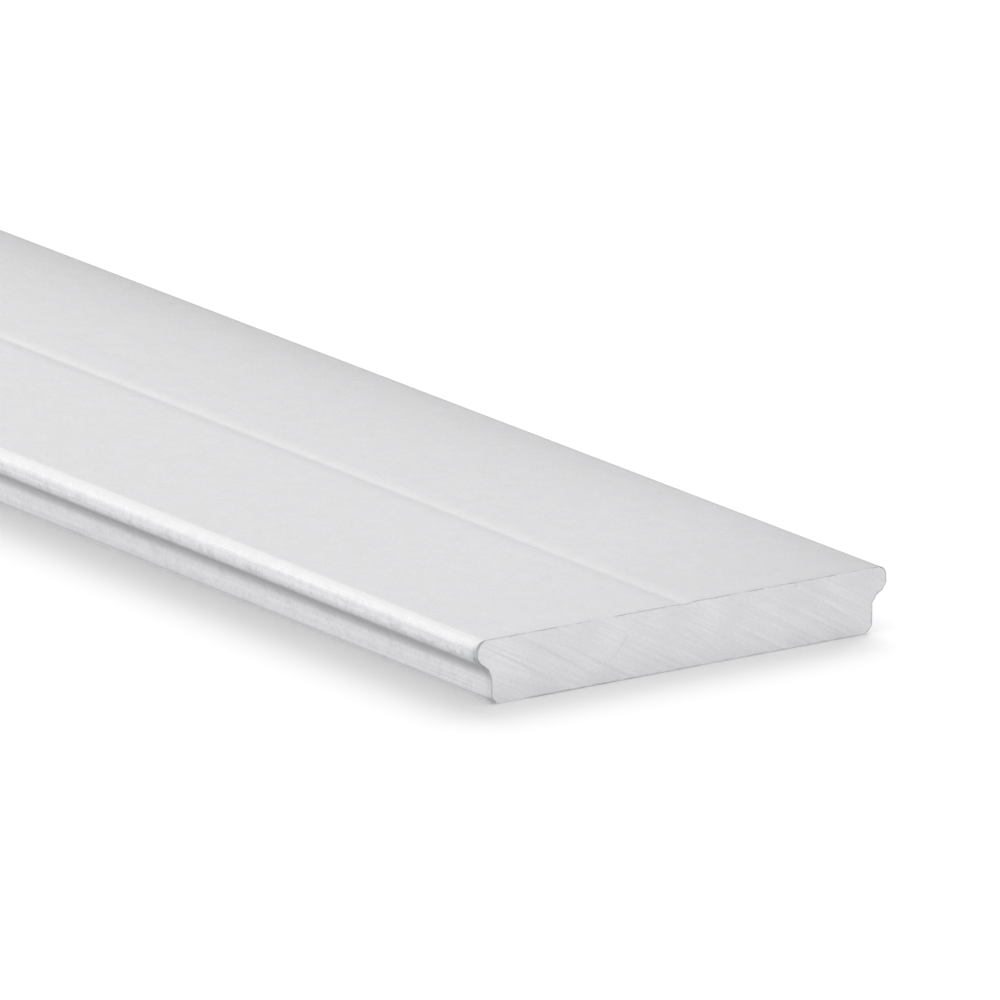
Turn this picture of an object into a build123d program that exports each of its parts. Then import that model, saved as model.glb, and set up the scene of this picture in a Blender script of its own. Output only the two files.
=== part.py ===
from build123d import *
import math
import os

# Flat aluminium extrusion with a moulded edge along both sides, in millimetres.
# The bar lies along X on its flat underside, centred on the origin, with its grooved face up.

# Stock
LENGTH = 1000.0
WIDTH = 30.0
HEIGHT = 4.1

# Moulded edge, the same on both sides: a rounded nose over a hollow throat and a plain foot
NOSE_RADIUS = 0.7
NOSE_LAND = 0.25
THROAT_RADIUS = 1.25
OVERHANG = 1.05
FOOT_RADIUS = 0.6

# Marking groove along the middle of the top: two soft shoulders that meet in a crease
GROOVE_WIDTH = 2.4
GROOVE_DEPTH = 0.08

# The nose's lower arc and the throat meet tangentially, on the line between their centres,
# and this is how far the throat turns out from the upright side before the nose takes over.
arc_reach = NOSE_RADIUS + THROAT_RADIUS
undercut_turn = math.degrees(math.acos((arc_reach - OVERHANG) / arc_reach))
undercut_height = arc_reach * math.sin(math.radians(undercut_turn))

# Plain side of the foot, from the underside up to where the throat begins
side_y = WIDTH / 2 - OVERHANG
side_height = HEIGHT - NOSE_RADIUS - NOSE_LAND - undercut_height
foot_radius = min(FOOT_RADIUS, side_height / 2)
underside_y = side_y - foot_radius


def moulded_edge():
    """Outline of one edge, from the underside up round the foot, throat and nose and in to the crease."""
    foot = JernArc((underside_y, 0), (1, 0), foot_radius, 90)
    side = Line(foot @ 1, (side_y, side_height))
    throat = JernArc(side @ 1, side % 1, THROAT_RADIUS, -undercut_turn)
    nose_under = JernArc(throat @ 1, throat % 1, NOSE_RADIUS, undercut_turn)
    nose_face = Line(nose_under @ 1, nose_under @ 1 + Vector(0, NOSE_LAND))
    nose_over = JernArc(nose_face @ 1, nose_face % 1, NOSE_RADIUS, 90)
    top = Line(nose_over @ 1, (GROOVE_WIDTH / 2, HEIGHT))
    shoulder = TangentArc(top @ 1, (0, HEIGHT - GROOVE_DEPTH), tangent=top % 1)
    return Curve() + [foot, side, throat, nose_under, nose_face, nose_over, top, shoulder]


def section():
    """Closed cross-section of the stock, the same on both sides of the crease."""
    edge = moulded_edge()
    underside = Line((-underside_y, 0), (underside_y, 0))
    return make_face(edge + mirror(edge, Plane.YZ) + underside)


def profile_bar():
    """The section run along X and sawn square at both ends."""
    across = Plane(origin=(-LENGTH / 2, 0, 0), x_dir=(0, 1, 0), z_dir=(1, 0, 0))
    return extrude(across * section(), LENGTH)


os.makedirs("parts", exist_ok=True)
export_step(profile_bar(), "parts/profile_bar.step")
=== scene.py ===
"""Looks of a flat aluminium extrusion: a matt anodised bar with moulded edges and sawn ends.

The bar's solid comes from the frame. This script lays a finely sampled surface over it, with the
marks that extruding, anodising and sawing leave, and sets it on a white studio floor.
"""

import logging
import math
from dataclasses import dataclass, field
from enum import Enum

import bpy
import numpy as np
from mathutils import Matrix, Vector
from mathutils.geometry import delaunay_2d_cdt

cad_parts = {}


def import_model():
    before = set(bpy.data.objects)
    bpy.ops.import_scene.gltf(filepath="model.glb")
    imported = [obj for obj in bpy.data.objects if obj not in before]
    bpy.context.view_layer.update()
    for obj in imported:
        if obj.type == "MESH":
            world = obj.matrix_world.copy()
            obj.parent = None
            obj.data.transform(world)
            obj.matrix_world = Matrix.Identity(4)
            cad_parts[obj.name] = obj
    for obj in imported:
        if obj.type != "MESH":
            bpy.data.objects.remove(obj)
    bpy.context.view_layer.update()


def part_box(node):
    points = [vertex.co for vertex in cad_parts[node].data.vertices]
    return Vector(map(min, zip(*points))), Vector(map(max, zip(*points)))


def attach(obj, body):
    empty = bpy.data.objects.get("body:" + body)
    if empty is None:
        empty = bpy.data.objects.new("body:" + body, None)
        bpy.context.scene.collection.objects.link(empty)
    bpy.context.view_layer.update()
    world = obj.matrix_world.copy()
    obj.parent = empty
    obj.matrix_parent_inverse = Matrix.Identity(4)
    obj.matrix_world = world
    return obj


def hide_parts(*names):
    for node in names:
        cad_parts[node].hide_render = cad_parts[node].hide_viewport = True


MM = 0.001
NODE = "profile_bar"
# Most values of a noise lie in the first span, and most values of one centred on 0 in the second.
NOISE_SPAN = (0.3, 0.7)
CENTRED_SPAN = (-0.2, 0.2)

Array = np.ndarray
Tree = bpy.types.NodeTree
Socket = bpy.types.NodeSocket
Pair = tuple[float, float]
Pairs = tuple[Pair, ...]

log = logging.getLogger("profile")


def linear(hex_colour: str) -> tuple[float, float, float, float]:
    """Turn an sRGB hex colour into linear RGBA.

    Args:
        hex_colour: Six hex digits, with or without a leading hash.

    Returns:
        Linear red, green and blue, and an alpha of 1.
    """
    digits = hex_colour.lstrip("#")
    channels = [int(digits[i : i + 2], 16) / 255 for i in (0, 2, 4)]
    red, green, blue = (c / 12.92 if c <= 0.04045 else ((c + 0.055) / 1.055) ** 2.4 for c in channels)
    return red, green, blue, 1.0


def per_metre(size_mm: float) -> float:
    """Texture scale, in features per metre, for a feature of the given size in millimetres."""
    return 1.0 / (size_mm * MM)


def about(middle: float, half: float, span: Pair = NOISE_SPAN) -> dict[int, float]:
    """Map Range inputs that turn a pattern's usual span into values this far about a middle."""
    return {1: span[0], 2: span[1], 3: middle - half, 4: middle + half}


def add_node(
    tree: Tree,
    kind: str,
    links: dict[int | str, object] | None = None,
    output: int | str = 0,
    **settings: object,
) -> Socket | None:
    """Add a node with its settings, socket values and incoming links.

    Args:
        tree: The node tree that takes the node.
        kind: The node's type after "ShaderNode", such as "Math".
        links: Input name or index to a value, or to the output socket that feeds it.
        output: Name or index of the output that is wanted.
        settings: Properties of the node itself.

    Returns:
        That output, or None for a node that has no outputs.
    """
    node = tree.nodes.new("ShaderNode" + kind)
    for name, value in settings.items():
        setattr(node, name, value)
    for name, value in (links or {}).items():
        if isinstance(value, Socket):
            tree.links.new(value, node.inputs[name])
        else:
            node.inputs[name].default_value = value
    return node.outputs[output] if node.outputs else None


def new_material(name: str) -> tuple[bpy.types.Material, Tree]:
    """Make a material with an empty node tree.

    Args:
        name: The material's name.

    Returns:
        The material and its node tree.
    """
    material = bpy.data.materials.new(name)
    material.use_nodes = True
    material.node_tree.nodes.clear()
    return material, material.node_tree


def value_noise(across: Array, along: Array, rng: np.random.Generator) -> Array:
    """Smooth random values on a plane, which change once in each unit both ways.

    Args:
        across: First coordinate of each place, not negative.
        along: Second coordinate of each place, not negative.
        rng: Source of the random values.

    Returns:
        One value for each place, from 0 to 1.
    """
    low_u, low_v = across.astype(int), along.astype(int)
    table = rng.random((low_u.max() + 2, low_v.max() + 2))
    u, v = across - low_u, along - low_v
    u, v = u * u * (3 - 2 * u), v * v * (3 - 2 * v)
    near = (1 - v) * table[low_u, low_v] + v * table[low_u, low_v + 1]
    far = (1 - v) * table[low_u + 1, low_v] + v * table[low_u + 1, low_v + 1]
    return (1 - u) * near + u * far


class Cut(Enum):
    """The two sawn ends, by the way each one faces along X."""

    FRONT = 1
    BACK = -1


@dataclass(frozen=True)
class Section:
    """Cross-section of the stock, walked counter-clockwise with straights and tangent arcs."""

    width: float
    height: float
    nose_radius: float = 0.7 * MM
    nose_land: float = 0.25 * MM
    throat_radius: float = 1.25 * MM
    overhang: float = 1.05 * MM
    foot_radius: float = 0.6 * MM
    groove_width: float = 2.4 * MM
    groove_depth: float = 0.08 * MM
    groove_bottom: float = 0.22 * MM
    arc_step: float = math.radians(6)
    shoulder_steps: int = 6
    line_step: float = 0.5 * MM

    def moves(self) -> list[Pair]:
        """List the moves from the underside round one edge and in to the crease.

        Returns:
            Pairs of length and turn, in metres and radians. A straight has no turn.
        """
        reach = self.nose_radius + self.throat_radius
        undercut = math.acos((reach - self.overhang) / reach)
        side = self.height - self.nose_radius - self.nose_land - reach * math.sin(undercut)
        half_groove = self.groove_width / 2
        slope = 2 * math.atan(self.groove_depth / half_groove)
        bottom_arc = self.groove_bottom * slope / math.sin(slope)
        shoulder_arc = (half_groove - self.groove_bottom) * slope / math.sin(slope)
        quarter = math.pi / 2
        return [
            (self.foot_radius * quarter, quarter),
            (side - self.foot_radius, 0.0),
            (self.throat_radius * undercut, -undercut),
            (self.nose_radius * undercut, undercut),
            (self.nose_land, 0.0),
            (self.nose_radius * quarter, quarter),
            (self.width / 2 - self.nose_radius - half_groove, 0.0),
            (shoulder_arc, slope),
            (bottom_arc, -slope),
        ]

    def edge(self) -> tuple[Array, Array]:
        """Walk one edge of the section.

        Returns:
            Points and outward normals in the section's plane, from the underside to the crease.
        """
        place = np.array([self.width / 2 - self.overhang - self.foot_radius, 0.0])
        heading = 0.0
        points, headings = [place], [heading]
        for length, turn in self.moves():
            steps = math.ceil(abs(turn) / self.arc_step) if turn else math.ceil(length / self.line_step)
            if 0 < abs(turn) < 2 * self.arc_step:
                steps = self.shoulder_steps
            chord = 2 * length / turn * math.sin(turn / steps / 2) if turn else length / steps
            for _ in range(steps):
                middle = heading + turn / steps / 2
                place = place + chord * np.array([math.cos(middle), math.sin(middle)])
                heading += turn / steps
                points.append(place)
                headings.append(heading)
        angles = np.array(headings)
        return np.array(points), np.stack([np.sin(angles), -np.cos(angles)], -1)

    def outline(self) -> tuple[Array, Array]:
        """Close the section.

        Returns:
            Points (Y, Z) and outward normals of the whole outline, counter-clockwise.
        """
        points, normals = self.edge()
        flip = np.array([-1.0, 1.0])
        far_points, far_normals = (points * flip)[-2::-1], (normals * flip)[-2::-1]
        start, stop = far_points[-1], points[0]
        steps = math.ceil((stop[0] - start[0]) / self.line_step)
        under = start + (stop - start) * np.arange(1, steps)[:, None] / steps
        down = np.tile((0.0, -1.0), (len(under), 1))
        return np.concatenate([points, far_points, under]), np.concatenate([normals, far_normals, down])


@dataclass(frozen=True)
class Score:
    """One deep scratch on a sawn face, as a straight or gently bent line."""

    start: Pair
    angle: float
    length: float
    shade: float = 0.2
    width: float = 0.13 * MM
    depth: float = 0.012 * MM
    bend: float = 0.0

    def axes(self) -> Array:
        """Unit vectors (Y, Z) along and across the scratch, as two rows."""
        cosine, sine = math.cos(self.angle), math.sin(self.angle)
        return np.array([(cosine, sine), (-sine, cosine)])

    def local(self, points: Array) -> tuple[Array, Array]:
        """Measure points from the scratch's start and from its line.

        Args:
            points: Places (Y, Z) on the face.

        Returns:
            Distances along and across the scratch.
        """
        way, side = self.axes()
        arms = points - np.array(self.start)
        along = arms @ way
        return along, arms @ side - self.bend * along**2

    def profile(self, points: Array) -> Array:
        """Shape the scratch as a soft groove that fades out at both ends.

        Args:
            points: Places (Y, Z) on the face.

        Returns:
            Share of the scratch's full depth at each point.
        """
        along, across = self.local(points)
        ends = np.clip(along / self.length, 0, 1)
        return np.exp(-((across / self.width * 2) ** 2)) * (4 * ends * (1 - ends)) ** 0.5

    def spread(self) -> Array:
        """Set points on and beside the scratch, close enough to shape it.

        Returns:
            Places (Y, Z) on the face.
        """
        way, side = self.axes()
        rows = np.linspace(-1, 1, 5) * self.width
        along, across = np.meshgrid(np.arange(0, self.length, self.width), rows)
        across = across + self.bend * along**2
        return np.array(self.start) + along.reshape(-1, 1) * way + across.reshape(-1, 1) * side


@dataclass(frozen=True)
class SawMarks:
    """Relief that a circular saw blade leaves: arcs about the blade's axis, one for each tooth.

    Each layer of the relief has its share of the depth and its coarseness.
    """

    blade_radius: float = 280 * MM
    axis_angle: float = math.radians(241)
    spacing: float = 0.21 * MM
    mark_length: float = 11.0 * MM
    depth: float = 0.03 * MM
    layers: Pairs = ((0.5, 1.0), (0.2, 0.5), (0.3, 3.1))
    fine_step: float = 0.04 * MM
    along_step: float = 0.3 * MM
    score_room: float = 1.2
    seed: int = 7
    scores: tuple[Score, ...] = (
        Score((-14.5 * MM, 3.75 * MM), math.radians(-30), 6.2 * MM, shade=0.26),
        Score((-11.9 * MM, 3.93 * MM), math.radians(-30.7), 6.4 * MM, shade=0.2),
        Score((-13.3 * MM, 3.0 * MM), math.radians(-31), 4.6 * MM, shade=0.12),
        Score((-9.3 * MM, 3.3 * MM), math.radians(-31), 5.2 * MM, shade=0.12),
        Score((-4.0 * MM, 2.9 * MM), math.radians(-115), 2.0 * MM, shade=0.22, bend=-170.0),
        Score((0.6 * MM, 3.9 * MM), math.radians(-33), 3.4 * MM, shade=0.0, depth=0.02 * MM),
        Score((-0.2 * MM, 2.9 * MM), math.radians(-40), 3.4 * MM, shade=0.12),
        Score((4.4 * MM, 3.3 * MM), math.radians(-38), 3.4 * MM, shade=0.1),
        Score((8.0 * MM, 3.95 * MM), math.radians(-20), 0.5 * MM, shade=0.3),
        Score((9.9 * MM, 2.9 * MM), math.radians(-38), 2.8 * MM, shade=0.1),
    )

    def axis(self) -> Array:
        """Place of the blade's axis in the section's plane."""
        return self.blade_radius * np.array([math.cos(self.axis_angle), math.sin(self.axis_angle)])

    def relief(self, points: Array) -> Array:
        """Depth of the cut face below its highest ridges.

        Args:
            points: Places (Y, Z) on the face.

        Returns:
            One depth for each point, from 0 up.
        """
        rng = np.random.default_rng(self.seed)
        arms = points - self.axis()
        radius = np.hypot(arms[:, 0], arms[:, 1])
        angle = np.unwrap(np.arctan2(arms[:, 1], arms[:, 0]))
        across, along = radius - radius.min(), (angle - angle.min()) * self.blade_radius
        depth = np.zeros(len(points))
        for share, times in self.layers:
            pitch = self.spacing * times
            depth += share * value_noise(across / pitch, along / self.mark_length / times, rng)
        depth *= self.depth
        for score in self.scores:
            depth += score.depth * score.profile(points)
        return depth

    def shade(self, points: Array) -> Array:
        """Darkness of the scratches at each point, from 0 to 1."""
        return np.max([score.shade * score.profile(points) for score in self.scores], axis=0)

    def lattice(self, width: float, height: float) -> Array:
        """Spread points over the face, close together across the marks and wide along them.

        Args:
            width: Extent of the face along Y.
            height: Extent of the face along Z, from 0 up.

        Returns:
            Places (Y, Z) that cover the face and a little more.
        """
        axis = self.axis()
        corners = np.array([(y, z) for y in (-width / 2, width / 2) for z in (0.0, height)]) - axis
        radii = np.hypot(corners[:, 0], corners[:, 1])
        angles = np.arctan2(corners[:, 1], corners[:, 0])
        turn_step = self.along_step / self.blade_radius
        rows = np.arange(radii.min(), radii.max(), self.fine_step)
        grid_r, grid_a = np.meshgrid(rows, np.arange(angles.min() - turn_step, angles.max(), turn_step))
        grid_a = grid_a + (np.arange(len(rows)) % 2) * turn_step / 2
        spread = np.stack([axis[0] + grid_r * np.cos(grid_a), axis[1] + grid_r * np.sin(grid_a)], -1)
        keep = [spread.reshape(-1, 2)]
        for score in self.scores:
            along, across = score.local(keep[0])
            near = (np.abs(across) < self.score_room * score.width) & (along > 0) & (along < score.length)
            keep[0] = keep[0][~near]
            keep.append(score.spread())
        return np.concatenate(keep)


@dataclass(frozen=True)
class Nick:
    """One small break in the edge along the top of the front cut."""

    place: float
    half_length: float
    extra: float

    def share(self, points: Array) -> Array:
        """How much of the nick each point has, from 0 to 1."""
        return np.clip(1 - np.abs(points[:, 0] - self.place) / self.half_length, 0, 1)


@dataclass(frozen=True)
class TornEdge:
    """Edge that the saw breaks round the cut, with a thin line of painted shade all round and a painted
    shadow of the burr on the skin beside it.

    The near side is at -Y, the far side at +Y. Each table pairs places, or tilts in degrees, with values.
    """

    narrow: float = 0.008 * MM
    side_extra: float = 0.062 * MM
    far_extra: float = 0.022 * MM
    over_extra: float = 0.042 * MM
    hollow_extra: float = 0.028 * MM
    under_extra: float = 0.03 * MM
    side_least: float = 0.6
    side_swing: float = 0.8
    round_least: float = 0.5
    round_weight: float = 2.0
    far_over: float = -1.0
    far_hollow: float = 3.0
    patch: float = 0.7 * MM
    fine_times: int = 3
    level: float = 0.9
    upright: float = 0.3
    under_height: float = 0.1 * MM
    dark_middle: float = 0.6
    dark_swing: float = 0.8
    dark_least: float = 0.15
    rough_share: float = 1.2
    fine_share: float = 0.8
    side_dark: Pairs = ((1.5 * MM, 0.35), (2.5 * MM, 0.65))
    side_rough: float = 0.35
    hollow_dark: float = 0.3
    far_dark: float = 0.3
    under_dark: float = 0.2
    under_along: Pairs = ((-12.4 * MM, 0.0), (-10.4 * MM, 1.0), (-3.6 * MM, 1.0), (-2.6 * MM, 0.6))
    clean_middle: float = -5.8 * MM
    clean_half: float = 1.1 * MM
    clean_power: int = 4
    nicks: tuple[Nick, ...] = (
        Nick(-13.6 * MM, 0.5 * MM, 0.03 * MM),
        Nick(-12.2 * MM, 0.3 * MM, 0.01 * MM),
        Nick(-9.35 * MM, 0.35 * MM, 0.03 * MM),
        Nick(-2.95 * MM, 0.45 * MM, 0.038 * MM),
        Nick(1.0 * MM, 0.3 * MM, 0.02 * MM),
        Nick(5.0 * MM, 0.35 * MM, 0.015 * MM),
        Nick(7.9 * MM, 0.3 * MM, 0.04 * MM),
        Nick(10.9 * MM, 0.5 * MM, 0.015 * MM),
    )
    nose_from: float = 2.4 * MM
    burr_shadow_share: float = 0.63
    burr_shadow_swing: float = 0.5
    burr_shadow_tilts: Pairs = (
        (40.0, 0.06),
        (60.0, 0.3),
        (75.0, 0.7),
        (90.0, 0.62),
        (100.0, 0.95),
        (120.0, 0.95),
        (140.0, 0.45),
        (180.0, 0.4),
    )
    burr_shadow_heights: Pairs = (
        (0.3 * MM, 0.95),
        (0.5 * MM, 0.22),
        (1.3 * MM, 0.22),
        (1.5 * MM, 0.33),
        (2.5 * MM, 0.4),
    )
    burr_shadow_fall: Pairs = (
        (0.0, 0.9),
        (0.3 * MM, 1.0),
        (0.4 * MM, 0.75),
        (0.5 * MM, 0.5),
        (0.65 * MM, 0.33),
        (0.85 * MM, 0.22),
        (1.2 * MM, 0.12),
        (1.8 * MM, 0.0),
    )
    seed: int = 3

    def noise(self, points: Array, patch: float, row: int) -> Array:
        """Smooth random values along the outline.

        Args:
            points: The outline (Y, Z).
            patch: Length over which the values change.
            row: Picks one of many runs of values.

        Returns:
            One value for each point, from 0 to 1.
        """
        steps = np.hypot(*np.diff(points, axis=0, append=points[:1]).T)
        along = np.cumsum(steps) / patch
        return value_noise(along, np.zeros(len(along)), np.random.default_rng(self.seed + row))

    def line(self, cut: Cut, points: Array, normals: Array) -> tuple[Array, Array]:
        """Give the broken edge its width and the darkness of its painted shade all round.

        Args:
            cut: Which end.
            points: The outline (Y, Z).
            normals: The outline's outward normals.

        Returns:
            Width in metres and darkness from 0 to 1, for each point.
        """
        # The painted shadow beside the cut has the first rows of values, and each cut's line two rows of its
        # own.
        row = 20 + 10 * cut.value
        rough, fine = (self.noise(points, self.patch / times, row + times) for times in (1, self.fine_times))
        facing, up = normals[:, 0], normals[:, 1]
        side, far = np.abs(facing), np.clip(facing, 0, 1)
        over = (self.round_weight * side + self.far_over * far) * np.clip(up, 0, 1)
        hollow = (self.round_weight * side + self.far_hollow * far) * np.clip(-up, 0, 1)
        under = np.clip(-up, 0, 1) * (points[:, 1] < self.under_height)
        upright = self.side_extra * side + self.far_extra * far
        rounded = self.over_extra * over + self.hollow_extra * hollow + self.under_extra * under
        width = self.narrow + upright * (self.side_least + self.side_swing * fine)
        width = width + rounded * (self.round_least + fine)
        dark = self.dark_middle + self.dark_swing * (self.rough_share * rough + self.fine_share * fine - 1)
        dark = np.clip(dark, self.dark_least, 1)
        # Painted shade is deeper on the upright sides, most in the hollows and on the far side, and along
        # the bottom.
        side_dark = np.interp(points[:, 1], *zip(*self.side_dark)) + self.side_rough * rough
        side_dark = side_dark + self.hollow_dark * hollow + self.far_dark * far
        dark = np.where(side > self.upright, side_dark, dark)
        upper, lower = up > self.level, under > self.level
        dark = np.clip(np.where(lower, dark + self.under_dark, dark), 0, 1)
        if cut is Cut.FRONT:
            off = np.clip(np.abs(points[:, 0] - self.clean_middle) / self.clean_half, 0, 1)
            clean = (1 - off**self.clean_power) * upper
            under_share = np.interp(points[:, 0], *zip(*self.under_along))
            dark = dark * (1 - clean) * np.where(lower, under_share, 1)
            for nick in self.nicks:
                share = nick.share(points) * upper
                width, dark = width + nick.extra * share, np.maximum(dark, share)
        return width, dark

    def burr_shadow(self, points: Array, normals: Array, row: int) -> Array:
        """Paint the burr's shadow on the skin next to the cut, darkest on the noses and at the foot.

        Args:
            points: The outline (Y, Z).
            normals: The outline's outward normals.
            row: Number of the ring in burr_shadow_fall.

        Returns:
            Darkness from 0 to 1, for each point.
        """
        tilt = np.degrees(np.arccos(np.clip(normals[:, 1], -1, 1)))
        high = np.interp(tilt, *zip(*self.burr_shadow_tilts))
        low = np.interp(points[:, 1], *zip(*self.burr_shadow_heights))
        share = np.where(points[:, 1] > self.nose_from, high, low)
        uneven = 1 + self.burr_shadow_swing * (self.noise(points, self.patch / self.fine_times, row) - 0.5)
        return self.burr_shadow_share * self.burr_shadow_fall[row][1] * share * uneven * (points[:, 1] > 0)


@dataclass(frozen=True)
class MetalFinish:
    """What the bar's two finishes share: metal toned by patterns, and a darker colour beside the cut that is
    painted shade, which on the cut also draws the scratches.
    """

    colour: str
    torn_and_shade_colour: str
    torn_and_shade_attribute: str
    roughness: float
    roughness_swing: float
    relief: float
    bump_strength: float = 0.3

    def surface(self, tree: Tree, layers: list[Socket], gloss: Socket, height: Socket) -> None:
        """Build the metal's shader.

        Args:
            tree: The material's node tree.
            layers: Tones, which are multiplied onto the metal's colour.
            gloss: Noise that varies the roughness.
            height: Pattern that gives the bump.
        """
        tone = layers[0]
        for layer in layers[1:]:
            tone = add_node(tree, "Math", {0: tone, 1: layer}, operation="MULTIPLY")
        metal = add_node(tree, "VectorMath", {0: linear(self.colour)[:3], 1: tone}, operation="MULTIPLY")
        torn_and_shade = add_node(
            tree, "Attribute", attribute_name=self.torn_and_shade_attribute, attribute_type="GEOMETRY", output="Fac"
        )
        colour = add_node(
            tree, "Mix", {0: torn_and_shade, 6: metal, 7: linear(self.torn_and_shade_colour)}, data_type="RGBA", output=2
        )
        roughness = add_node(tree, "MapRange", {0: gloss, **about(self.roughness, self.roughness_swing)})
        bump = add_node(
            tree, "Bump", {"Height": height, "Strength": self.bump_strength, "Distance": self.relief}
        )
        shader = add_node(
            tree,
            "BsdfPrincipled",
            {"Base Color": colour, "Metallic": 1.0, "Roughness": roughness, "Normal": bump},
        )
        add_node(tree, "OutputMaterial", {"Surface": shader})


@dataclass(frozen=True)
class EdgeBand:
    """A darker band that runs along both moulded edges at one height, used for painted shade in the throats
    and at the foot and to gather rub marks on the noses.
    """

    middle: float
    half: float
    tone: float
    edge_from: float = 13.6 * MM

    def depth(self, tree: Tree, place: Socket) -> Socket:
        """Say how much the band darkens each place.

        Args:
            tree: The material's node tree.
            place: Place on the bar.

        Returns:
            The band's tone along its middle, which falls to 0 at its sides.
        """
        across, up = (add_node(tree, "SeparateXYZ", {0: place}, output=axis) for axis in (1, 2))
        off = add_node(tree, "Math", {0: up, 1: self.middle}, operation="SUBTRACT")
        off = add_node(tree, "Math", {0: off}, operation="ABSOLUTE")
        band = add_node(
            tree,
            "MapRange",
            {0: off, 1: self.half, 2: 0.0, 3: 0.0, 4: self.tone},
            interpolation_type="SMOOTHSTEP",
        )
        side = add_node(tree, "Math", {0: across}, operation="ABSOLUTE")
        outer = add_node(tree, "Math", {0: side, 1: self.edge_from}, operation="GREATER_THAN")
        return add_node(tree, "Math", {0: band, 1: outer}, operation="MULTIPLY")


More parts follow.
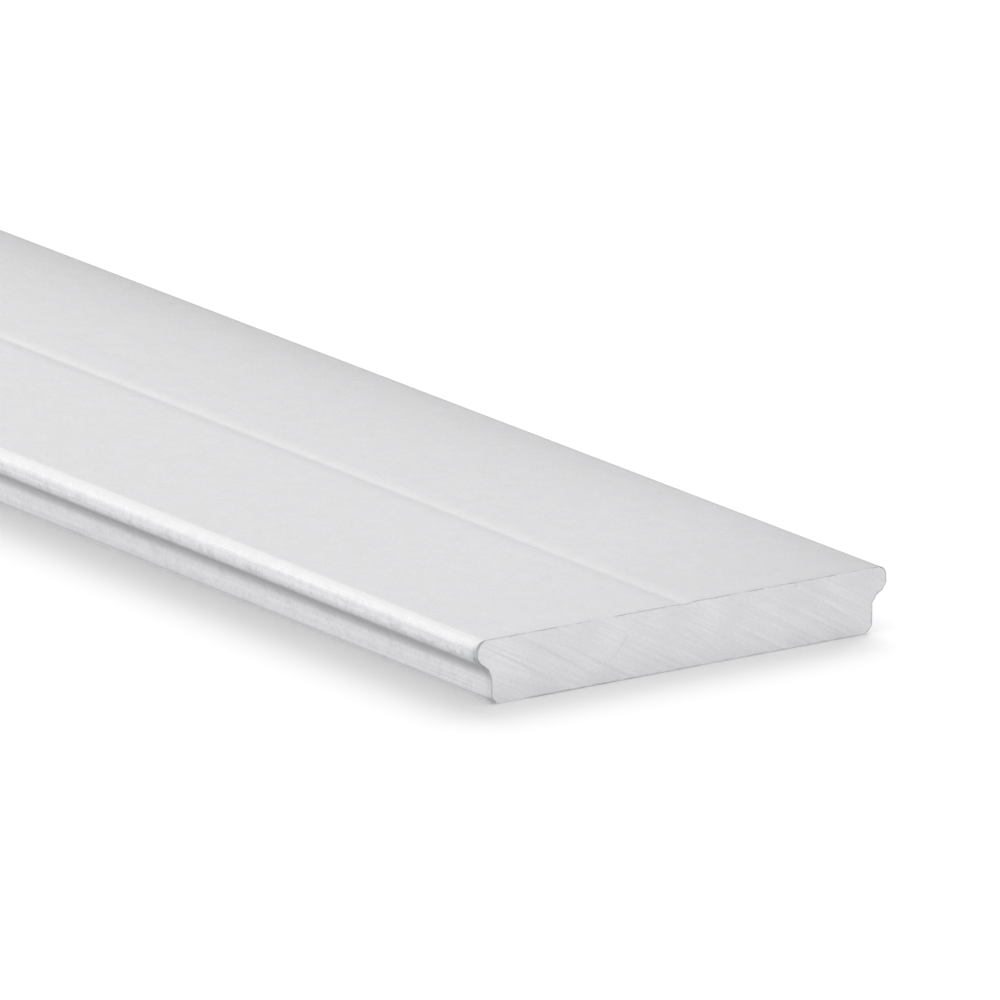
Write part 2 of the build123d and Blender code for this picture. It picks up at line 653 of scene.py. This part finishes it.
@dataclass(frozen=True)
class AnodisedAluminium(MetalFinish):
    """Extruded aluminium, etched and anodised: matt silver with a fine satin grain and faint die lines."""

    colour: str = "DADADC"
    torn_and_shade_colour: str = "727476"
    torn_and_shade_attribute: str = "burr_shadow"
    roughness: float = 0.44
    roughness_swing: float = 0.03
    relief: float = 0.008 * MM
    grain_mm: float = 0.13
    grain_tone: float = 0.045
    cloud_mm: float = 1.3
    cloud_tone: float = 0.012
    die_line_mm: tuple[float, float, float] = (30.0, 0.14, 0.14)
    die_line_tone: float = 0.045
    level_normal: float = 0.95
    upright_normal: float = 0.3
    level_share: float = 0.02
    # Painted shade in the hollow throats and along the round foot; rub marks gather on the noses.
    throat: EdgeBand = EdgeBand(2.21 * MM, 0.9 * MM, 0.39)
    foot: EdgeBand = EdgeBand(0.29 * MM, 0.19 * MM, 0.155)
    nose: EdgeBand = EdgeBand(2.95 * MM, 0.6 * MM, 0.1)
    rub_mm: float = 0.8
    rub_side: float = 0.07
    rub_span: Pair = (0.49, 0.64)
    end_dim_tone: Pair = (0.014, 0.049)
    end_dim_across: Pair = (-10.0 * MM, 9.0 * MM)
    end_dim_along: Pair = (486.0 * MM, 497.0 * MM)

    def material(self) -> bpy.types.Material:
        """Build the finish.

        Returns:
            The material. The vertex attribute "smear" says where the shadow of the burr is painted on the
            skin.
        """
        material, tree = new_material("anodised_aluminium_satin")
        place = add_node(tree, "TexCoord", output="Object")
        # Etching before anodising leaves a satin grain of a few hundredths of a millimetre. That is too
        # fine to show, so it is drawn at 0.13 mm. Over it lie soft clouds of a millimetre or two.
        grain, cloud = (
            add_node(tree, "TexNoise", {"Vector": place, "Scale": per_metre(size), "Detail": 1.0})
            for size in (self.grain_mm, self.cloud_mm)
        )
        # The die drags fine lines along the bar, which show on the upright sides and hardly on the flats.
        stretch = tuple(per_metre(size) for size in self.die_line_mm)
        drawn = add_node(tree, "VectorMath", {0: place, 1: stretch}, operation="MULTIPLY")
        lines = add_node(tree, "TexNoise", {"Vector": drawn, "Scale": 1.0, "Detail": 2.0})
        normal = add_node(tree, "NewGeometry", output="Normal")
        up = add_node(tree, "SeparateXYZ", {0: normal}, output=2)
        upright = add_node(
            tree,
            "MapRange",
            {0: up, 1: self.level_normal, 2: self.upright_normal, 3: self.level_share, 4: 1.0},
        )
        lines = add_node(tree, "Math", {0: lines, 1: 0.5}, operation="SUBTRACT")
        lines = add_node(tree, "Math", {0: lines, 1: upright}, operation="MULTIPLY")
        patterns = (
            (grain, self.grain_tone, NOISE_SPAN),
            (lines, self.die_line_tone, CENTRED_SPAN),
            (cloud, self.cloud_tone, NOISE_SPAN),
        )
        layers = [
            add_node(tree, "MapRange", {0: pattern, **about(1.0, tone, span)})
            for pattern, tone, span in patterns
        ]
        # Painted shade darkens the hollow throats and the round foot where it nears the floor.
        marks = (
            self.throat.depth(tree, place),
            self.foot.depth(tree, place),
            self.rub_depth(tree, place, upright),
            self.end_dim_depth(tree, place, upright),
        )
        for depth in marks:
            layers.append(add_node(tree, "Math", {0: 1.0, 1: depth}, operation="SUBTRACT"))
        height = add_node(tree, "Math", {0: grain, 1: lines}, operation="ADD")
        # Painted shadow of the burr: the skin's last millimetre or so is greyed beside the cut.
        self.surface(tree, layers, grain, height)
        return material

    def rub_depth(self, tree: Tree, place: Socket, upright: Socket) -> Socket:
        """Speckle the upright sides with small grey rub marks from handling, most of all the noses.

        Args:
            tree: The material's node tree.
            place: Place on the bar.
            upright: How upright the surface stands, from 0 to 1.

        Returns:
            How much the marks darken each place, from 0 where the skin is clean.
        """
        rub = add_node(
            tree,
            "TexNoise",
            {"Vector": place, "Scale": per_metre(self.rub_mm), "Detail": 3.0, "Roughness": 0.85},
        )
        clean, worn = self.rub_span
        spots = add_node(tree, "MapRange", {0: rub, 1: clean, 2: worn})
        side = add_node(tree, "Math", {0: upright, 1: self.rub_side}, operation="MULTIPLY")
        nose = self.nose.depth(tree, place)
        depth = add_node(tree, "Math", {0: nose, 1: side}, operation="ADD")
        return add_node(tree, "Math", {0: spots, 1: depth}, operation="MULTIPLY")

    def end_dim_depth(self, tree: Tree, place: Socket, upright: Socket) -> Socket:
        """Darken the last centimetre of the top beside each cut, more towards the rear edge than the front.

        Args:
            tree: The material's node tree.
            place: Place on the bar.
            upright: How upright the surface stands, from 0 to 1.

        Returns:
            How much each place is darkened, from 0 where it is not.
        """
        along, across = (add_node(tree, "SeparateXYZ", {0: place}, output=axis) for axis in (0, 1))
        along = add_node(tree, "Math", {0: along}, operation="ABSOLUTE")
        start, full = self.end_dim_along
        near_side, far_side = self.end_dim_across
        least, most = self.end_dim_tone
        end_dim = add_node(tree, "MapRange", {0: across, 1: near_side, 2: far_side, 3: least, 4: most})
        beside_cut = add_node(tree, "MapRange", {0: along, 1: start, 2: full})
        flat = add_node(tree, "Math", {0: 1.0, 1: upright}, operation="SUBTRACT")
        for share in (beside_cut, flat):
            end_dim = add_node(tree, "Math", {0: end_dim, 1: share}, operation="MULTIPLY")
        return end_dim


@dataclass(frozen=True)
class SawnAluminium(MetalFinish):
    """Bare aluminium as a saw leaves it: silver streaked along the tooth marks, with a rough rim darkened by
    painted shade.
    """

    colour: str = "D8D8DA"
    torn_and_shade_colour: str = "A3A5A8"
    torn_and_shade_attribute: str = "rim"
    roughness: float = 0.44
    roughness_swing: float = 0.08
    relief: float = 0.02 * MM
    marks: SawMarks = SawMarks()
    streak_mm: float = 0.22
    streak_length_mm: float = 8.0
    streak_tone: float = 0.055
    calm_span: Pair = (0.35, 0.65)
    streak_strength: Pair = (0.9, 1.75)
    grit_mm: float = 0.2
    grit_tone: float = 0.05
    patch_mm: float = 3.0
    patch_tone: float = 0.03
    far_tone: float = 0.05
    far_span: Pair = (4.0 * MM, 13.0 * MM)
    low_shade_tone: float = 0.035
    low_shade_height: float = 2.0 * MM

    def polar(self, tree: Tree, place: Socket) -> Socket:
        """Measure places on the cut across and along the tooth marks.

        Args:
            tree: The material's node tree.
            place: Place on the bar.

        Returns:
            Coordinates that change by 1 over a streak's width and over its length.
        """
        axis_y, axis_z = self.marks.axis()
        arm = add_node(tree, "VectorMath", {0: place, 1: (0.0, axis_y, axis_z)}, operation="SUBTRACT")
        arm = add_node(tree, "VectorMath", {0: arm, 1: (0.0, 1.0, 1.0)}, operation="MULTIPLY")
        arm_y, arm_z = (add_node(tree, "SeparateXYZ", {0: arm}, output=axis) for axis in (1, 2))
        radius = add_node(tree, "VectorMath", {0: arm}, operation="LENGTH", output="Value")
        off = add_node(tree, "Math", {0: radius, 1: self.marks.blade_radius}, operation="SUBTRACT")
        turn = add_node(tree, "Math", {0: arm_y, 1: arm_z}, operation="ARCTAN2")
        turn_scale = self.marks.blade_radius * per_metre(self.streak_length_mm)
        across, along = (
            add_node(tree, "Math", {0: value, 1: scale}, operation="MULTIPLY")
            for value, scale in ((off, per_metre(self.streak_mm)), (turn, turn_scale))
        )
        return add_node(tree, "CombineXYZ", {0: across, 1: along})

    def material(self) -> bpy.types.Material:
        """Build the finish.

        Returns:
            The material. The vertex attribute "rim" says where the painted shade along the cut's broken edge
            and the scratches lie.
        """
        material, tree = new_material("aluminium_saw_cut")
        place = add_node(tree, "TexCoord", output="Object")
        across, up = (add_node(tree, "SeparateXYZ", {0: place}, output=axis) for axis in (1, 2))
        # Each tooth burnishes a fine line about the blade's axis, 0.2 mm from the next, here clearer,
        # there less.
        streak = add_node(
            tree,
            "TexNoise",
            {"Vector": self.polar(tree, place), "Scale": 1.0, "Detail": 3.0, "Roughness": 0.6},
        )
        patch = add_node(
            tree, "TexNoise", {"Vector": place, "Scale": per_metre(self.patch_mm), "Detail": 1.0}
        )
        calm, busy = self.calm_span
        weak, strong = self.streak_strength
        strength = add_node(tree, "MapRange", {0: patch, 1: calm, 2: busy, 3: weak, 4: strong})
        swing = add_node(tree, "Math", {0: streak, 1: 0.5}, operation="SUBTRACT")
        swing = add_node(tree, "Math", {0: swing, 1: strength}, operation="MULTIPLY")
        # Chips dragged over the cut leave a fine grit between the lines.
        grit = add_node(
            tree,
            "TexNoise",
            {"Vector": place, "Scale": per_metre(self.grit_mm), "Detail": 3.0, "Roughness": 0.8},
        )
        patterns = (
            (swing, self.streak_tone, CENTRED_SPAN),
            (patch, self.patch_tone, NOISE_SPAN),
            (grit, self.grit_tone, NOISE_SPAN),
        )
        layers = [
            add_node(tree, "MapRange", {0: pattern, **about(1.0, tone, span)})
            for pattern, tone, span in patterns
        ]
        # The cut is a little darker towards its far side, and painted shade darkens it towards its bottom.
        bright, dull = self.far_span
        far = {0: across, 1: bright, 2: dull, 3: 1.0, 4: 1 - self.far_tone}
        layers.append(add_node(tree, "MapRange", far, interpolation_type="SMOOTHSTEP"))
        low = {0: up, 1: 0.0, 2: self.low_shade_height, 3: 1 - self.low_shade_tone, 4: 1.0}
        layers.append(add_node(tree, "MapRange", low))
        self.surface(tree, layers, streak, streak)
        return material


@dataclass
class ProfileBar:
    """The bar: its extruded skin and the two sawn ends, as one closed surface."""

    low: Vector
    high: Vector
    skin: AnodisedAluminium
    sawn: SawnAluminium
    edge: TornEdge
    station_step: float = 20 * MM
    fade: float = 0.03 * MM
    weld: float = 1e-9
    vertices: list[Array] = field(default_factory=list)
    rims: list[Array] = field(default_factory=list)
    burr_shadows: list[Array] = field(default_factory=list)
    faces: list[list[int]] = field(default_factory=list)
    corner_normals: list[Array] = field(default_factory=list)

    def section(self) -> Section:
        """Section that fills the frame's box across the bar."""
        return Section(width=self.high.y - self.low.y, height=self.high.z - self.low.z)

    def add_faces(self, faces: Array, normals: Array) -> None:
        """Take up faces with a normal for each of their corners."""
        self.faces.extend(faces.tolist())
        self.corner_normals.append(normals.reshape(-1, 3))

    def lay_skin(self, points: Array, normals: Array) -> None:
        """Lay rings of the outline along the bar and join them, with close rings beside both cuts.

        Args:
            points: The outline (Y, Z), counter-clockwise seen from +X.
            normals: The outline's outward normals.
        """
        count = len(points)
        fall = [distance for distance, _ in self.edge.burr_shadow_fall]
        start, stop = self.low.x + fall[-1], self.high.x - fall[-1]
        middle = np.linspace(start, stop, math.ceil((stop - start) / self.station_step))[1:-1]
        back, front = [self.low.x + gap for gap in fall], [self.high.x - gap for gap in reversed(fall)]
        stations = np.concatenate([back, middle, front])
        widths = [self.edge.line(cut, points, normals)[0] for cut in (Cut.BACK, Cut.FRONT)]
        for ring, x in enumerate(stations):
            along = np.clip(np.full(count, x), self.low.x + widths[0], self.high.x - widths[1])
            row = min(ring, len(stations) - 1 - ring)
            near = row < len(fall)
            self.vertices.append(np.column_stack([along, points]))
            self.rims.append(np.zeros(count))
            self.burr_shadows.append(self.edge.burr_shadow(points, normals, row) if near else np.zeros(count))
        i = np.arange(count)
        j = (i + 1) % count
        flat = np.column_stack([np.zeros(count), normals])
        for ring in range(len(stations) - 1):
            far, near = ring * count, (ring + 1) * count
            quads = np.stack([near + i, far + i, far + j, near + j], -1)
            self.add_faces(quads, np.stack([flat[i], flat[i], flat[j], flat[j]], 1))

    def close_end(self, cut: Cut, points: Array, normals: Array, ring: int) -> None:
        """Close one end with the broken edge and the sawn face.

        Args:
            cut: Which end.
            points: The outline (Y, Z).
            normals: The outline's outward normals.
            ring: Index of the first vertex of the skin's last ring at this end.
        """
        count = len(points)
        width, dark = self.edge.line(cut, points, normals)
        marks = self.sawn.marks
        inner = points - normals * width[:, None]
        faded = inner - normals * self.fade
        spread = marks.lattice(self.high.y - self.low.y, self.high.z - self.low.z)
        spread = spread[self.inside(spread, faded - normals * self.fade)]
        places = [Vector(place) for place in np.concatenate([inner, faded, spread])]
        ring_edges = [(i, (i + 1) % count) for i in range(count)]
        flat, _, triangles, sources, _, _ = delaunay_2d_cdt(places, ring_edges, [], 1, self.weld)
        flat = np.array([tuple(place) for place in flat])
        base = sum(len(block) for block in self.vertices)
        depth = marks.relief(flat)
        rim = marks.shade(flat)
        cut_ring = np.zeros(count, int)
        for index, origins in enumerate(sources):
            for origin in (o for o in origins if o < count):
                depth[index], rim[index], cut_ring[origin] = 0.0, dark[origin], base + index
        face_x = self.high.x if cut is Cut.FRONT else self.low.x
        cap = np.column_stack([face_x - cut.value * depth, flat])
        self.vertices.append(cap)
        self.rims.append(rim)
        self.burr_shadows.append(np.zeros(len(flat)))
        self.rims[0 if cut is Cut.BACK else ring // count][:] = dark
        tris = np.array(triangles)[:, :: cut.value]
        edges = cap[tris]
        facing = np.cross(edges[:, 1] - edges[:, 0], edges[:, 2] - edges[:, 0])
        smooth = np.zeros_like(cap)
        for corner in range(3):
            np.add.at(smooth, tris[:, corner], facing)
        smooth /= np.linalg.norm(smooth, axis=1)[:, None]
        self.add_faces(base + tris, smooth[tris])
        i = np.arange(count)
        j = (i + 1) % count
        lean = np.column_stack([np.full(count, cut.value), normals]) / math.sqrt(2)
        quads = np.stack([ring + i, ring + j, cut_ring[j], cut_ring[i]], -1)[:, :: cut.value]
        self.add_faces(quads, np.stack([lean[i], lean[j], lean[j], lean[i]], 1)[:, :: cut.value])

    @staticmethod
    def inside(spread: Array, shape: Array) -> Array:
        """Say which points lie inside a closed outline.

        Args:
            spread: Places (Y, Z) to test.
            shape: The outline.

        Returns:
            One truth value for each place.
        """
        result = np.zeros(len(spread), bool)
        for (y0, z0), (y1, z1) in zip(shape, np.roll(shape, -1, axis=0)):
            if z0 != z1:
                crossing = (z0 > spread[:, 1]) != (z1 > spread[:, 1])
                result ^= crossing & (spread[:, 0] < y0 + (spread[:, 1] - z0) * (y1 - y0) / (z1 - z0))
        return result

    def build(self) -> bpy.types.Object:
        """Returns:
            The bar's object.
        """
        points, normals = self.section().outline()
        self.lay_skin(points, normals)
        skin_faces = len(self.faces)
        last_ring = (len(self.vertices) - 1) * len(points)
        self.close_end(Cut.FRONT, points, normals, last_ring)
        self.close_end(Cut.BACK, points, normals, 0)
        mesh = bpy.data.meshes.new("sawn_profile_bar")
        mesh.from_pydata(np.concatenate(self.vertices).tolist(), [], self.faces)
        mesh.update()
        mesh.materials.append(self.skin.material())
        mesh.materials.append(self.sawn.material())
        counts = [skin_faces, len(self.faces) - skin_faces]
        mesh.polygons.foreach_set("material_index", np.repeat([0, 1], counts))
        mesh.polygons.foreach_set("use_smooth", np.ones(len(self.faces), bool))
        mesh.normals_split_custom_set(np.concatenate(self.corner_normals).tolist())
        for name, values in (("rim", self.rims), ("burr_shadow", self.burr_shadows)):
            mesh.attributes.new(name, "FLOAT", "POINT").data.foreach_set("value", np.concatenate(values))
        bar = bpy.data.objects.new("sawn_profile_bar", mesh)
        bpy.context.scene.collection.objects.link(bar)
        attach(bar, "root")
        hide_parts(NODE)
        return bar


@dataclass(frozen=True)
class Softbox:
    """A soft rectangular studio light that faces the bar's front end."""

    name: str
    direction: tuple[float, float, float]
    width: float
    height: float
    radiance: float
    distance: float = 2.5
    reflected: bool = True
    on_floor: bool = True
    colour: str = "FFFFFF"

    def build(self, target: Vector) -> None:
        """Hang the light.

        Args:
            target: What the light points at.
        """
        lamp = bpy.data.lights.new(self.name, "AREA")
        lamp.shape = "RECTANGLE"
        lamp.size, lamp.size_y = self.width, self.height
        lamp.energy = self.radiance * math.pi * self.width * self.height
        lamp.color = linear(self.colour)[:3]
        light = bpy.data.objects.new(self.name, lamp)
        way = Vector(self.direction).normalized()
        light.location = target + way * self.distance
        light.rotation_euler = way.to_track_quat("Z", "Y").to_euler()
        light.visible_camera = False
        light.visible_glossy, light.visible_diffuse = self.reflected, self.on_floor
        bpy.context.scene.collection.objects.link(light)


@dataclass(frozen=True)
class Studio:
    """White floor and surroundings, the soft lights over them and a grey card for the metal to reflect."""

    floor_size: float = 30.0
    floor_drop: float = 0.006 * MM
    floor_colour: str = "F6F6F6"
    floor_gleam: float = 1.3
    floor_gleam_share: float = 0.52
    floor_lift: float = 0.103
    sky_strength: float = 0.665
    card_distance: float = 20.5 * MM
    card_bottom: float = 4.3 * MM
    card_top: float = 7.45 * MM
    card_near: float = 560 * MM
    card_level: float = 330 * MM
    card_far: float = -560 * MM
    card_shift: float = 30 * MM
    card_rise: float = 0.016
    card_tone: float = 0.4
    softboxes: tuple[Softbox, ...] = (
        Softbox(
            "side_softbox",
            (-0.956, -0.292, 0.51),
            width=4.4,
            height=1.72,
            radiance=0.45,
            on_floor=False,
            colour="FFFFF7",
        ),
        Softbox(
            "low_softbox", (-0.788, -0.616, 0.07), width=2.3, height=0.35, radiance=0.55, on_floor=False
        ),
        Softbox(
            "back_softbox", (-0.594, 0.54, 0.596), width=2.59, height=1.9, radiance=2.72, reflected=False
        ),
        Softbox(
            "top_softbox", (0.034, -0.228, 0.973), width=1.14, height=1.14, radiance=0.91, reflected=False
        ),
    )

    def world(self) -> None:
        """White all round for the camera and in reflections, and a softer white as light."""
        world = bpy.data.worlds.new("studio_white")
        bpy.context.scene.world = world
        world.use_nodes = True
        tree = world.node_tree
        tree.nodes.clear()
        seen = add_node(tree, "LightPath", output="Is Camera Ray")
        for name in ("Is Glossy Ray", "Is Transmission Ray"):
            ray = add_node(tree, "LightPath", output=name)
            seen = add_node(tree, "Math", {0: seen, 1: ray}, operation="MAXIMUM")
        strength = add_node(tree, "MapRange", {0: seen, 3: self.sky_strength, 4: 1.0})
        background = add_node(tree, "Background", {"Color": (1, 1, 1, 1), "Strength": strength})
        add_node(tree, "OutputWorld", {"Surface": background})

    @staticmethod
    def flat_piece(name: str, places: list[tuple[float, float, float]]) -> bpy.types.Object:
        """Set one flat face in the studio.

        Args:
            name: The piece's name.
            places: Its corners, in order.

        Returns:
            The piece, which has no material yet.
        """
        mesh = bpy.data.meshes.new(name)
        mesh.from_pydata(places, [], [tuple(range(len(places)))])
        piece = bpy.data.objects.new(name, mesh)
        bpy.context.scene.collection.objects.link(piece)
        return piece

    def floor(self) -> None:
        """Lay the white floor just under the bar, so that no face of the bar lies in it.

        The metal reflects it as bright as the camera sees it before the picture clips it to white, and
        with a fainter shadow of the bar.
        """
        half = self.floor_size / 2
        square = [(-half, -half), (half, -half), (half, half), (-half, half)]
        floor = self.flat_piece("studio_floor", [(x, y, -self.floor_drop) for x, y in square])
        material, tree = new_material("white_paper_sweep")
        paper = add_node(
            tree,
            "BsdfPrincipled",
            {"Base Color": linear(self.floor_colour), "Roughness": 1.0, "Specular IOR Level": 0.0},
        )
        seen, mirrored = (
            add_node(tree, "LightPath", output=ray) for ray in ("Is Camera Ray", "Is Glossy Ray")
        )
        lift, share = (
            add_node(tree, "Math", {0: ray, 1: amount}, operation="MULTIPLY")
            for ray, amount in ((seen, self.floor_lift), (mirrored, self.floor_gleam_share))
        )
        glow = add_node(tree, "Emission", {"Strength": lift})
        paper = add_node(tree, "AddShader", {0: paper, 1: glow})
        gleam = add_node(tree, "Emission", {"Strength": self.floor_gleam})
        surface = add_node(tree, "MixShader", {0: share, 1: paper, 2: gleam})
        add_node(tree, "OutputMaterial", {"Surface": surface})
        floor.data.materials.append(material)

    def card(self) -> None:
        """Stand a grey card behind the bar, which only reflections show: it darkens the top's rear half."""
        low, near, level, far = self.card_bottom, self.card_near, self.card_level, self.card_far
        middle = (near + level) / 2 + self.card_shift
        tops = [self.card_top - self.card_rise * (x - middle) for x in (near, level)]
        outline = [(far, low), (near, low), (near, tops[0]), (level, tops[1]), (far, tops[1])]
        card = self.flat_piece("grey_card", [(x, self.card_distance, z) for x, z in outline])
        material, tree = new_material("grey_card")
        emission = add_node(tree, "Emission", {"Strength": self.card_tone})
        add_node(tree, "OutputMaterial", {"Surface": emission})
        card.data.materials.append(material)
        card.visible_camera = card.visible_diffuse = card.visible_shadow = False

    def build(self, target: Vector) -> None:
        """Set up the world, the floor, the card and the lights.

        Args:
            target: The middle of what the lights fall on.
        """
        self.world()
        self.floor()
        self.card()
        for softbox in self.softboxes:
            softbox.build(target)


@dataclass(frozen=True)
class PhotoCamera:
    """Long-lens camera that looks along the bar at its sawn end, as the photograph does."""

    azimuth: float = math.radians(55.503)
    elevation: float = math.radians(15.458)
    lens: float = 725.3
    sensor: float = 36.0
    distance: float = 1206.9 * MM
    clip: Pair = (0.01, 100.0)
    image_side: float = 1000.0
    target_pixel: Pair = (683.34, 669.02)

    def build(self, target: Vector) -> bpy.types.Object:
        """Place the camera so that the target falls on its pixel.

        Args:
            target: The lower middle of the sawn end.

        Returns:
            The camera's object.
        """
        flat = math.cos(self.elevation)
        east, south = math.sin(self.azimuth) * flat, math.cos(self.azimuth) * flat
        back = Vector((east, -south, math.sin(self.elevation)))
        right = Vector((math.cos(self.azimuth), math.sin(self.azimuth), 0.0))
        up = back.cross(right)
        metres_per_pixel = self.distance * self.sensor / self.lens / self.image_side
        middle = self.image_side / 2
        across = (self.target_pixel[0] - middle) * metres_per_pixel
        below = (self.target_pixel[1] - middle) * metres_per_pixel
        data = bpy.data.cameras.new("photo_camera")
        data.lens = self.lens
        data.sensor_width = self.sensor
        data.clip_start, data.clip_end = self.clip
        camera = bpy.data.objects.new("photo_camera", data)
        place = target - right * across + up * below + back * self.distance
        turn = Matrix((right, up, back)).transposed().to_4x4()
        camera.matrix_world = Matrix.Translation(place) @ turn
        bpy.context.scene.collection.objects.link(camera)
        bpy.context.scene.camera = camera
        return camera


def corners(box: tuple[Vector, Vector]) -> list[list[float]]:
    """Turn a box into plain lists of numbers."""
    return [list(corner) for corner in box]


def main() -> None:
    """Load the frame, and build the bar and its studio."""
    logging.basicConfig(level=logging.INFO, format="%(name)s: %(message)s")
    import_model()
    low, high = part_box(NODE)
    bar = ProfileBar(low, high, AnodisedAluminium(), SawnAluminium(), TornEdge()).build()
    log.info("%s: %d faces", bar.name, len(bar.data.polygons))
    end = Vector((high.x, 0.0, 0.0))
    studio = Studio()
    studio.build(end)
    log.info("studio: white floor and world, grey card and %d softboxes", len(studio.softboxes))
    camera = PhotoCamera().build(end)
    log.info("%s: %.0f mm lens", camera.name, camera.data.lens)
    bpy.context.scene.view_settings.view_transform = "Standard"


if __name__ == "__main__":
    main()
